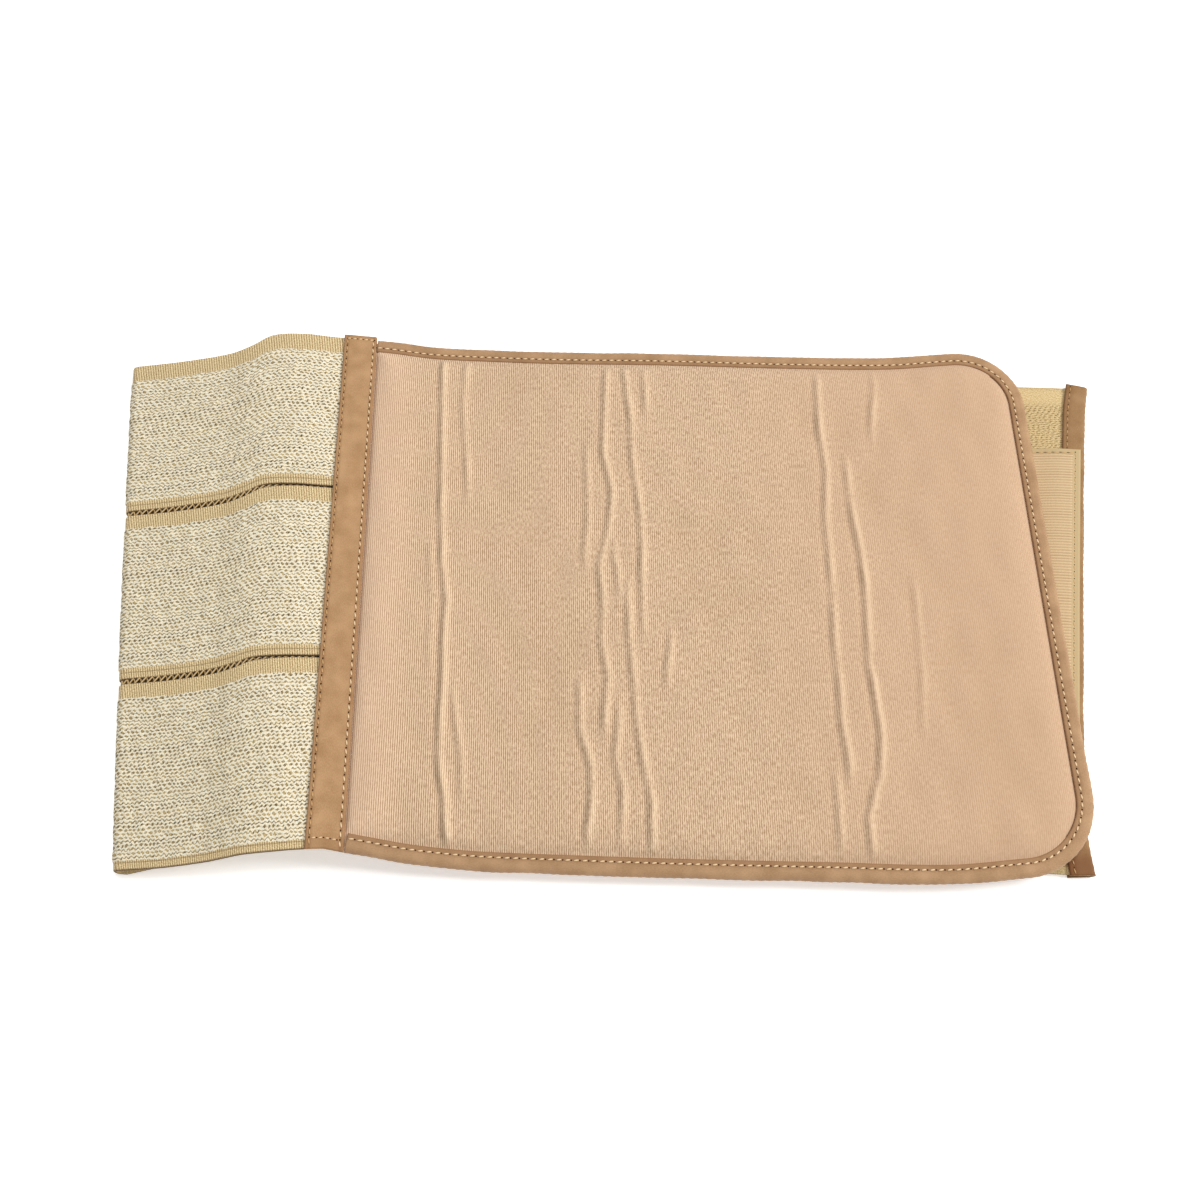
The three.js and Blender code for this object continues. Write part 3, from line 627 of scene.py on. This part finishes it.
laminate, tree = new_material("Brushed ribbed knit on foam")  # soft matte pile over fine ribs
uv = add(tree, "UVMap", uv_map="cloth_mm")
u = add(tree, "SeparateXYZ", {0: uv})
rib = add(tree, "Math", {0: add(tree, "Math", {0: u, 1: 2 * math.pi / RIB_PITCH}, operation="MULTIPLY")},
          operation="COSINE")
stretched = add(tree, "Mapping", {"Vector": uv, "Scale": (1.0, 0.3, 1.0)})
PILE = 1.7  # tufts a millimetre across the ribs: coarser than the real pile, to show
pile = add(tree, "TexNoise", {"Vector": stretched, "Scale": PILE, "Detail": 4.0, "Roughness": 0.7},
           out="Fac")
patch = add(tree, "TexNoise", {"Vector": uv, "Scale": 0.035, "Detail": 3.0}, out="Fac")  # of 29 mm
ribbed = add(tree, "MapRange", {0: u, 1: 10.0, 2: 120.0, 3: 0.24, 4: 0.13})  # plainest near the strip
tone = add(tree, "Math", {0: rib, 1: ribbed, 2: pile}, operation="MULTIPLY_ADD")
knit = add(tree, "MapRange", {0: tone, 1: 0.34, 2: 0.66})
smooth = add(tree, "MapRange", {0: u, 1: 165.0, 2: 265.0, 3: 0.0, 4: 0.6})  # pressed flat at the end
knit = add(tree, "Mix", {0: smooth, 2: knit, 3: 0.5})
cloth = add(tree, "Mix", {0: knit, 6: linear("#A58362"), 7: linear("#EDCFAE")}, out=2, data_type="RGBA")
shade = add(tree, "MapRange", {0: patch, 1: 0.3, 2: 0.7, 3: 0.985, 4: 1.015})
cloth = add(tree, "Mix", {0: 1.0, 6: cloth, 7: shade}, out=2, data_type="RGBA", blend_type="MULTIPLY")
rosy = add(tree, "Math", {0: smooth, 1: 0.6}, operation="MULTIPLY")
cloth = add(tree, "Mix", {0: rosy, 6: cloth, 7: linear("#C79D7D")}, out=2, data_type="RGBA")
blush_and_painted_light = add(tree, "MapRange", {0: u, 1: 9.0, 2: 30.0, 3: 0.34, 4: 0.0})  # a pinker tone and painted light on the slope that rises beside the strip
cloth = add(tree, "Mix", {0: blush_and_painted_light, 6: cloth, 7: linear("#FAD2B4")}, out=2, data_type="RGBA")
# Painted shade in the valleys of the creases, by their depth.
deep = add(tree, "Attribute", out="Fac", attribute_name="deep")
valley_shade = add(tree, "MapRange", {0: deep, 1: 0.0, 2: 0.5, 3: 0.0, 4: 0.1})
cloth = add(tree, "Mix", {0: valley_shade, 6: cloth, 7: linear("#94703F")}, out=2, data_type="RGBA")
ridge_highlight = add(tree, "Attribute", out="Fac", attribute_name="ridge_highlight")
drawn = add(tree, "MapRange", {0: ridge_highlight, 1: 0.1, 2: 1.1, 3: 0.0, 4: 0.32})  # painted highlight on the crest of each crease's ridge
cloth = add(tree, "Mix", {0: drawn, 6: cloth, 7: linear("#F6DCBA")}, out=2, data_type="RGBA")
bump = add(tree, "Bump", {"Strength": 0.35, "Distance": 0.00015, "Height": tone})
shader = add(tree, "BsdfPrincipled", {"Base Color": cloth, "Roughness": 0.95, "Normal": bump,
                                      "Specular IOR Level": 0.2, "Sheen Weight": 0.2,
                                      "Sheen Roughness": 0.5})
add(tree, "OutputMaterial", {"Surface": shader})

rim_stops = np.linspace(0, FOAM_CORNER, 15)
middle_stops = np.linspace(FOAM_CORNER, FOAM_WIDTH - FOAM_CORNER, 69)
panel_rows = np.concatenate([rim_stops, middle_stops[1:], (FOAM_WIDTH - rim_stops)[::-1][1:]])
panel_columns = np.linspace(0, FOAM_LENGTH, 801)
mesh = laid_cloth("foam_panel_laminate", panel_columns, panel_rows, 12, lay_panel)
foam = add_piece("foam_panel_laminate", mesh, [laminate], "foam_laminate", "foam_panel")

# ----------------------------------------
# Edge tapes: tan woven tape folded lengthwise round the panel's edge, and a wider one round the free
# end of the bands. One row of stitches near its inner edge goes through each, pale on the panel's.
# ----------------------------------------
STITCH_PITCH = 3.35
BINDING_STITCH = 2.0  # from the inner edge of the tape to its row of stitches
RIM_STITCH = (2.35, 0.38, 0.4)  # its length, its thread's radius, and half its needle hole
END_STITCH = (2.4, 0.26, 0.3)
END_PITCH = 3.4
END_CORNER_SHADE = 0.8  # strength of the painted shade on the end tape's front corner, where it lies under the panel's overhang


def woven_tape(name, base, dark):
    """Tightly woven polyester tape: satin, with a grain along it that is drawn 0.8 mm wide to show, slow
    patches of 8 mm, and a laid darkening: painted shade in its sewn grooves, along its edges and at the end
    tape's front corner, with some plain darker tone beside them."""
    material, tree = new_material(name)
    uv = add(tree, "UVMap", uv_map="cloth_mm")
    weave = add(tree, "TexNoise", {"Vector": add(tree, "Mapping", {"Vector": uv, "Scale": (1, 2.5, 1)}),
                                   "Scale": 1.3, "Detail": 4.0}, out="Fac")
    patch = add(tree, "TexNoise", {"Vector": uv, "Scale": 0.12, "Detail": 2.0}, out="Fac")
    both = add(tree, "Math", {0: weave, 1: patch}, operation="ADD")
    share = add(tree, "MapRange", {0: both, 1: 0.75, 2: 1.25})
    cloth = add(tree, "Mix", {0: share, 6: linear(dark), 7: linear(base)}, out=2, data_type="RGBA")
    # Painted shade, with some plain darker tone: the tape darkens toward this brown in its sewn grooves,
    # along its edges and at the end tape's front corner.
    tone_and_shade = add(tree, "Attribute", out="Fac", attribute_name="tone_and_shade")
    cloth = add(tree, "Mix", {0: tone_and_shade, 6: cloth, 7: linear("#7A4E2A")}, out=2, data_type="RGBA")
    bump = add(tree, "Bump", {"Strength": 0.3, "Distance": 0.0001, "Height": weave})
    shader = add(tree, "BsdfPrincipled", {"Base Color": cloth, "Roughness": 0.75, "Normal": bump,
                                          "Specular IOR Level": 0.3, "Sheen Weight": 0.1})
    add(tree, "OutputMaterial", {"Surface": shader})
    return material


def even_line(points, step):
    """Stations at even steps along a line: points, outward directions on its right, and distances."""
    run = np.concatenate([[0], np.cumsum(np.linalg.norm(np.diff(points, axis=0), axis=1))])
    at = np.linspace(0, run[-1], int(run[-1] / step) + 1)
    places = np.stack([np.interp(at, run, points[:, k]) for k in range(3)], 1)
    heading = np.gradient(places, axis=0)
    outward = np.stack([heading[:, 1], -heading[:, 0], heading[:, 0] * 0], 1)
    for _ in range(3):
        outward[1:-1] = (outward[:-2] + 2 * outward[1:-1] + outward[2:]) / 4
    return places, outward / np.linalg.norm(outward, axis=1)[:, None], at


def lay_folded_tape(places, outwards, at, grip, seam, corner_shade=0.0):
    """Lays a tape folded round an edge; girth is measured from the fold, down side negative."""
    def lay(station, girth, side):
        n = station.astype(int)
        quarter = REACH * math.pi / 2
        angle = np.clip(girth / REACH, -math.pi / 2, math.pi / 2)
        inward = np.maximum(np.abs(girth) - quarter, 0)
        along = at[n]
        row = hump(inward - seam, 0.9) * (inward > 0)
        beat = np.cos(2 * math.pi * along / STITCH_PITCH)
        pucker = 0.26 * row * (0.65 - 0.35 * beat)
        loose = 0.14 * ripple(along, girth, 19, 21) + 0.08 * beat
        lip = hump(inward - grip, 0.5) * 0.25
        radius = np.where(side > 0, REACH - pucker - lip, WRAP_RADIUS)
        point = places[n] + outwards[n] * (radius * np.cos(angle) + loose * np.cos(angle)
                                           - inward)[:, None]
        point[:, 2] += radius * np.sin(angle)
        # Painted shade in the groove of the stitch row and at the tape's inner edge, and a darker tone
        # between the stitches and the inner edge.
        tone_and_shade = 0.35 * row + 0.22 * ease((inward - seam) / 1.2) + 0.3 * hump(inward - grip, 0.5)
        # Painted shade on the end tape's front corner, where it lies under the panel's overhang.
        tone_and_shade = tone_and_shade + corner_shade * ease((14 - along) / 10)
        return point, np.stack([along, girth], 1), {"tone_and_shade": tone_and_shade * (side > 0)}
    return lay


def girths(grip):
    quarter = REACH * math.pi / 2
    flat = np.linspace(quarter, quarter + grip, 11)
    return np.concatenate([-flat[::-1], np.linspace(-quarter, quarter, 11)[1:-1], flat])


def twisted_thread(name, dark, light):
    """Polyester sewing thread: a slight shine on tight strands, twisted every 0.3 mm."""
    made, tree = new_material(name)
    twist = add(tree, "TexNoise", {"Vector": add(tree, "TexCoord", out="Object"), "Scale": 3000.0}, out="Fac")
    strands = add(tree, "Mix", {0: twist, 6: linear(dark), 7: linear(light)}, out=2, data_type="RGBA")
    shader = add(tree, "BsdfPrincipled", {"Base Color": strands, "Roughness": 0.5})
    add(tree, "OutputMaterial", {"Surface": shader})
    return made


pale_thread = twisted_thread("Pale gold polyester thread", "#D8AE78", "#FDE6C0")
brown_thread = twisted_thread("Golden brown polyester thread", "#AC8250", "#DDB47C")
needle_hole, tree = new_material("Shadowed needle hole")  # the dark dimple where the thread goes in
shader = add(tree, "BsdfPrincipled", {"Base Color": linear("#4E321A"), "Roughness": 1.0,
                                      "Specular IOR Level": 0.0})
add(tree, "OutputMaterial", {"Surface": shader})

STITCH_SLANT = 0.2  # of the thread to its row, as a tangent


def sew(name, rows, slot, thread):
    """Rows of machine stitches: points and headings, then each stitch's length, radius and half hole."""
    sewn = bmesh.new()
    for points, headings, length, radius, hole in rows:
        for point, heading in zip(points, headings):
            forward = Vector(heading).normalized()
            aside = Vector((0, 0, 1)).cross(forward).normalized()
            up = forward.cross(aside)
            slanted = (forward + STITCH_SLANT * aside).normalized()
            for start, heading_to, size, index in (
                    (0, slanted, (length / 2, radius, radius * 0.8), 0),
                    (length / 2 + hole * 0.8, forward, (hole, radius * 0.9, 0.16), 1)):
                spot = (Vector(point + SHIFT) + forward * start) * MM
                turn = Matrix((heading_to * size[0], up.cross(heading_to) * size[1],
                               up * size[2])).transposed().to_4x4()
                place = Matrix.Translation(spot) @ Matrix.Scale(MM, 4) @ turn
                made = bmesh.ops.create_uvsphere(sewn, u_segments=6, v_segments=4, radius=1, matrix=place)
                for face in {f for vertex in made["verts"] for f in vertex.link_faces}:
                    face.material_index = index
                    face.smooth = True
    bmesh.ops.recalc_face_normals(sewn, faces=sewn.faces)
    mesh = bpy.data.meshes.new(name)
    sewn.to_mesh(mesh)
    sewn.free()
    add_piece(name, mesh, [thread, needle_hole], slot)


def even_stitches(points, pitch):
    """Middles and headings of stitches at even pitch along a line."""
    run = np.concatenate([[0], np.cumsum(np.linalg.norm(np.diff(points, axis=0), axis=1))])
    at = np.arange(pitch / 2, run[-1], pitch)
    middles, ahead, behind = (np.stack([np.interp(at + d, run, points[:, k]) for k in range(3)], 1)
                              for d in (0, 0.5, -0.5))
    return middles, ahead - behind


binding_start = STRIP_HALF + CLEARANCE
rim_along = np.linspace(binding_start, FOAM_LENGTH, 600)
rim_t = np.linspace(0, FOAM_WIDTH, 500)
rim_line = np.concatenate([panel_spot(rim_along, rim_along * 0)[0],
                           panel_spot(rim_t * 0 + FOAM_LENGTH, rim_t)[0][1:-1],
                           panel_spot(rim_along[::-1], rim_along * 0 + FOAM_WIDTH)[0]])
binding_tape = woven_tape("Tan woven binding tape", "#BC9670", "#A27D59")
grip = BINDING_WIDTH - REACH
places, outwards, at = even_line(rim_line, 0.8)
lay = lay_folded_tape(places, outwards, at, grip, grip - BINDING_STITCH)
mesh = laid_cloth("panel_binding_tape", np.arange(len(at)), girths(grip), 5, lay)
add_piece("panel_binding_tape", mesh, [binding_tape], "binding_tape", "panel_edge_binding")
seam_line = places - outwards * (grip - BINDING_STITCH) + (0, 0, REACH - 0.05)
sew("panel_binding_stitches", [(*even_stitches(seam_line, STITCH_PITCH), *RIM_STITCH)],
    "binding_tape", pale_thread)

end_line = np.concatenate([band_spot(np.zeros(40), band, np.linspace(0, 1, 40))[0] for band in range(3)])
end_tape = woven_tape("Brown woven end tape", "#A58058", "#8C673D")
end_grip = END_BINDING_WIDTH - REACH
places, outwards, at = even_line(end_line, 0.8)
lay = lay_folded_tape(places, outwards, at, end_grip, end_grip - BINDING_STITCH, END_CORNER_SHADE)
mesh = laid_cloth("end_binding_tape", np.arange(len(at)), girths(end_grip), 5, lay)
add_piece("end_binding_tape", mesh, [end_tape], "binding_tape", "end_binding")
seam_line = places - outwards * (end_grip - BINDING_STITCH) + (0, 0, REACH - 0.05)
sew("end_binding_stitches", [(*even_stitches(seam_line, END_PITCH), *END_STITCH)],
    "binding_tape", brown_thread)

# ----------------------------------------
# Cross strip: a flat tan tape sewn over the join of the bands and the panel with a row of stitches
# along each side. Its ends are folded under and sewn across.
# ----------------------------------------
STRIP_TRIM = 0.8  # the tape's left edge lies this much in from that of its solid
STRIP_SEAMS = (-STRIP_HALF + 2.4, STRIP_HALF - 1.5)
STRIP_THICKNESS, STRIP_OVERHANG = 1.1, 0.4
STRIP_PITCH, STRIP_END_PITCH = 3.7, 2.6
STRIP_STITCH = (2.6, 0.36, 0.45)  # its length, its thread's radius, and half its needle hole
STRIP_END_STITCH = (1.8, 0.32, 0.38)


def strip_spot(offset, across):
    """A point on the underside of the strip."""
    run = join_x(across) - fold_x(across) - FOLD_RADIUS
    top, panel = 1 + offset / run, np.maximum(offset, 0) / PANEL_LENGTH
    left = offset < 0
    front, back = (PANEL_WIDTH * np.where(left, curve(TOP_PLAN, c, top), curve(PANEL_PLAN, c, panel))
                   for c in (1, 2))
    layer = np.where(left, mix(FOLD_HEIGHT, JOIN_HEIGHT, curve(TOP_PLAN, 3, top)),
                     panel_height(np.maximum(offset, 0)))
    y = mix(front - STRIP_OVERHANG, back + STRIP_OVERHANG, across)
    return np.stack([join_x(across) + offset, y, layer + PRESSED / 2 + CLEARANCE], 1)


def lay_strip(offset, across, side):
    point = strip_spot(offset, across)
    from_edge = np.minimum(offset + STRIP_HALF - STRIP_TRIM, STRIP_HALF - offset)
    along = across * PANEL_WIDTH
    rounding = rounded(from_edge / 0.7)
    beat = np.cos(2 * math.pi * along / STRIP_PITCH)
    grooves = sum(0.24 * hump(offset - seam, 0.6) * (0.7 - 0.3 * beat) for seam in STRIP_SEAMS)
    swell = 0.12 * ripple(offset * 2, along, 26, 31)
    folded = 0.25 * ease(1 - np.minimum(along, PANEL_WIDTH - along) / 6)
    rise = np.where(side > 0, STRIP_THICKNESS * (0.45 + 0.55 * rounding) + swell * rounding + folded
                    - grooves, 0)
    point[:, 2] += rise
    # Painted shade in the stitched grooves and along the strip's edges, and a darker tone towards its front
    # end.
    tone_and_shade = 0.3 * sum(hump(offset - seam, 0.7) for seam in STRIP_SEAMS)
    tone_and_shade = tone_and_shade + 0.3 * hump(from_edge, 1.0) + 0.25 * ease((7 - along) / 5)
    return point, np.stack([along, offset], 1), {"tone_and_shade": tone_and_shade * (side > 0)}


strip_tape = woven_tape("Tan woven strip tape", "#C49B70", "#AA8157")
mesh = laid_cloth("cross_strip_tape", np.linspace(-STRIP_HALF + STRIP_TRIM, STRIP_HALF, 53),
                  np.linspace(0, 1, 301), 20, lay_strip)
add_piece("cross_strip_tape", mesh, [strip_tape], "strip_tape", "cross_strip")
seam_shares = np.linspace(0.004, 0.996, 400)
left_row, right_row = (
    (*even_stitches(strip_spot(np.full(400, seam), seam_shares) + (0, 0, STRIP_THICKNESS - 0.05),
                    STRIP_PITCH), *STRIP_STITCH) for seam in STRIP_SEAMS)
end_rows = [
    (*even_stitches(strip_spot(np.linspace(*ends, 20), np.full(20, share)) + (0, 0, STRIP_THICKNESS + 0.15),
                    STRIP_END_PITCH), *STRIP_END_STITCH)
    for share, ends in ((0.0175, (-5, 6)), (0.992, (-6, 6)))]
sew("cross_strip_left_stitches", [left_row], "strip_tape", brown_thread)
sew("cross_strip_right_stitches", [right_row, *end_rows], "strip_tape", pale_thread)

# ----------------------------------------
# Hook tab: a rectangle of moulded hook fastener with fine ridges along the binder, sewn round its
# edge on the upper face of the free end. Its right margin lies on the end tape.
# ----------------------------------------
HOOK_LENGTH, HOOK_WIDTH, HOOK_MARGIN, HOOK_DROP = 158.0, 60.0, 2.6, 12.0
HOOK_PITCH = 1.36  # from ridge to ridge
HOOK_SEAM, HOOK_BACK_SEAM = 2.4, 1.6  # from the right and left edges of the tab to their stitches
HOOK_BASE, HOOK_HEIGHT = 0.75, 0.4  # thickness of the tab, and of the hooks above it
HOOK_STITCH_PITCH = 3.4
HOOK_SIDE_STITCH = (2.3, 0.26, 0.42)  # its length, its thread's radius, and half its needle hole
HOOK_END_STITCH = (1.7, 0.26, 0.8)
floor_end = PANEL_WIDTH * FLOOR_PLAN[-1, 1:3]
HOOK_SHARE = HOOK_LENGTH / (floor_end[1] - floor_end[0])


def hook_spot(from_end, along):
    """A point on the underside of the tab. along: 0 at its front edge, 1 at its back edge."""
    across = 0.5 + HOOK_SHARE * (along - 0.5)
    x = free_end_x(across) - from_end
    way = (x - fold_x(across)) / (free_end_x(across) - fold_x(across))
    front, back = (PANEL_WIDTH * curve(FLOOR_PLAN, c, way) for c in (1, 2))
    band_top = floor_height(from_end) + fading(BAND_THICKNESS, from_end - END_BINDING_WIDTH) / 2
    carried = mix(END_TOP, band_top, ease((from_end - END_BINDING_WIDTH - CLEARANCE) / HOOK_DROP))
    return np.stack([x, mix(front, back, across), carried + CLEARANCE], 1)


def lay_hooks(from_end, along, side):
    point = hook_spot(from_end, along)
    v = along * HOOK_LENGTH
    margin = np.minimum(np.minimum(v, HOOK_LENGTH - v) + 0.8, np.minimum(
        from_end - HOOK_MARGIN, HOOK_MARGIN + HOOK_WIDTH - from_end))
    inside = ease((margin - 2.9) / 0.8)
    ridge = np.abs(np.sin(math.pi * v / HOOK_PITCH))
    rise = HOOK_BASE + inside * (0.15 + HOOK_HEIGHT * ridge) - 0.25 * hump(margin - HOOK_SEAM, 0.5)
    point[:, 2] += np.where(side > 0, rise, 0)
    return point, np.stack([from_end, v], 1), {"ridge": ridge * inside, "inside": inside}


hooks, tree = new_material("Moulded hook fastener")  # semi-matte nylon, rows of hooks, with painted shade darkening the valleys between them
uv = add(tree, "UVMap", uv_map="cloth_mm")
ridge = add(tree, "Attribute", out="Fac", attribute_name="ridge")
grain = add(tree, "TexNoise", {"Vector": uv, "Scale": 1.5, "Detail": 3.0}, out="Fac")
# Random grain tone, and painted shade that darkens the valleys between the hook rows.
share = add(tree, "Math", {0: grain, 1: 0.6, 2: ridge}, operation="MULTIPLY_ADD")
share = add(tree, "MapRange", {0: share, 1: 0.0, 2: 1.3})
inside = add(tree, "Attribute", out="Fac", attribute_name="inside")
field = add(tree, "Mix", {0: share, 6: linear("#A07C52"), 7: linear("#D8BC92")}, out=2, data_type="RGBA")
nylon = add(tree, "Mix", {0: inside, 6: linear("#C2A97C"), 7: field}, out=2, data_type="RGBA")
bump = add(tree, "Bump", {"Strength": 0.4, "Distance": 0.0002, "Height": grain})
shader = add(tree, "BsdfPrincipled", {"Base Color": nylon, "Roughness": 0.7, "Normal": bump})
add(tree, "OutputMaterial", {"Surface": shader})

mesh = laid_cloth("hook_tab_hooks", HOOK_MARGIN + HOOK_WIDTH * np.linspace(1, 0, 61),
                  np.linspace(0, 1, 481), 20, lay_hooks)
add_piece("hook_tab_hooks", mesh, [hooks], "hook_fastener", "hook_tab")
along_sides = np.linspace(0.015, 0.985, 200)
along_ends = np.linspace(HOOK_MARGIN + HOOK_SEAM, HOOK_WIDTH, 80)
rows = []
for line, stitch in (
        (hook_spot(np.full(200, HOOK_MARGIN + HOOK_SEAM), along_sides), HOOK_SIDE_STITCH),
        (hook_spot(along_ends, np.full(80, 0.988)), HOOK_END_STITCH),
        (hook_spot(along_ends, np.full(80, 0.012)), HOOK_END_STITCH),
        (hook_spot(np.full(200, HOOK_MARGIN + HOOK_WIDTH - HOOK_BACK_SEAM), along_sides),
         HOOK_SIDE_STITCH)):
    rows.append((*even_stitches(line + (0, 0, HOOK_BASE - 0.13), HOOK_STITCH_PITCH), *stitch))
sew("hook_tab_stitches", rows, "hook_fastener", brown_thread)
